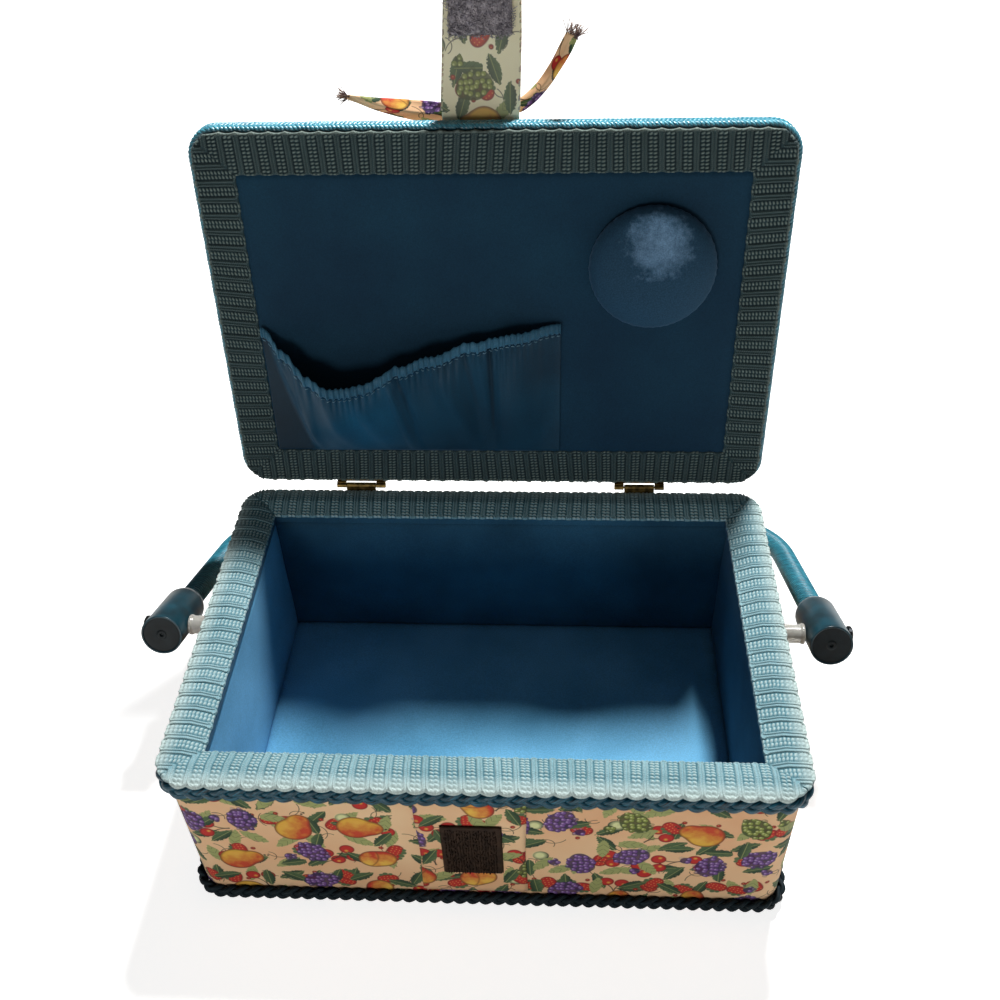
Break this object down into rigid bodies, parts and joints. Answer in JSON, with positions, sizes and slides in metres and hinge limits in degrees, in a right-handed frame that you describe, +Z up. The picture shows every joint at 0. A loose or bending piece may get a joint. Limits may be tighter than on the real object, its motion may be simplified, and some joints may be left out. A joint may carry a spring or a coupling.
{
  "type": "sewing basket",
  "caption": "Fabric-covered sewing box with a hinged padded lid, ribbed trim, lining pocket, pincushion, wound swing handle and a closing strap.",
  "frame": {"origin": "centre of the box's underside, on the surface it stands on", "axes": "+Z up, +X to the right seen from the front, -Y out of the front with the hook patch, lid hinges at +Y"},
  "size_m": [0.3302, 0.2637, 0.3283],
  "materials": {
    "printed_cotton": "printed cotton, fruit and leaves on a cream ground",
    "gimp": "ribbed woven braid, faded seafoam",
    "satin_cord": "glossy teal rayon cord",
    "base_cord": "dark navy braided cord",
    "lining": "matt napped lining, navy teal",
    "pincushion": "matt velvet, worn paler at the middle",
    "hook_tape": "dark brown hook tape",
    "loop_tape": "grey fuzzy loop tape",
    "hardboard": "bare hardboard",
    "foam": "soft foam sheet",
    "backing": "dark backing sheet",
    "brass": "stamped brass, dulled",
    "steel": "zinc plated",
    "clear_plastic": "clear tube",
    "cap_plastic": "moulded dark teal",
    "handle_core": "plain rod"
  },
  "bodies": {
    "box": {"base_sheet": "backing", "base_board": "hardboard", "floor_pad": "lining", "wall_board_front": "hardboard", "wall_board_right": "hardboard", "wall_board_back": "hardboard", "wall_board_left": "hardboard", "wall_lining_front": "lining", "wall_lining_right": "lining", "wall_lining_back": "lining", "wall_lining_left": "lining", "rim_rail_front": "hardboard", "rim_rail_right": "hardboard", "rim_rail_back": "hardboard", "rim_rail_left": "hardboard", "box_cover": "printed_cotton", "front_band": "printed_cotton", "hook_patch": "hook_tape", "rim_trim_front": "gimp", "rim_trim_right": "gimp", "rim_trim_back": "gimp", "rim_trim_left": "gimp", "rim_cord": "satin_cord", "base_cord": "base_cord", "hinge_leaf_box_right": "brass", "hinge_leaf_box_left": "brass", "hinge_pin_right": "brass", "hinge_pin_left": "brass", "pivot_spacer_right": "clear_plastic", "pivot_spacer_left": "clear_plastic", "pivot_nut_right": "steel", "pivot_nut_left": "steel", "pivot_screw_right": "steel", "pivot_screw_left": "steel"},
    "lid": {"lid_board": "hardboard", "lid_pad": "foam", "lid_cover": "printed_cotton", "lid_band": "printed_cotton", "lid_cord": "satin_cord", "lid_trim_front": "gimp", "lid_trim_right": "gimp", "lid_trim_back": "gimp", "lid_trim_left": "gimp", "lid_lining": "lining", "pocket": "lining", "pocket_elastic": "lining", "pincushion_card": "hardboard", "pincushion": "pincushion", "hinge_leaf_lid_right": "brass", "hinge_leaf_lid_left": "brass"},
    "handle": {"handle_core": "handle_core", "handle_wrap": "satin_cord", "handle_cap_left": "cap_plastic", "handle_cap_right": "cap_plastic"},
    "strap": {"closure_strap": "printed_cotton", "loop_patch": "loop_tape", "bow_knot": "printed_cotton", "bow_tail_left": "printed_cotton", "bow_tail_right": "printed_cotton"}
  },
  "joints": [
    {"name": "lid_hinge", "type": "hinge", "parent": "box", "child": "lid", "pos_m": [0, 0.0901, 0.0929], "axis": [1, 0, 0], "range_deg": [0, 97.8]},
    {"name": "handle_swing", "type": "hinge", "parent": "box", "child": "handle", "pos_m": [0, 0.01, 0.074], "axis": [1, 0, 0], "range_deg": [0, 66]},
    {"name": "strap_fold", "type": "hinge", "parent": "lid", "child": "strap", "pos_m": [0, 0.12644, 0.27273], "axis": [1, 0, 0], "range_deg": [0, 90]}
  ]
}
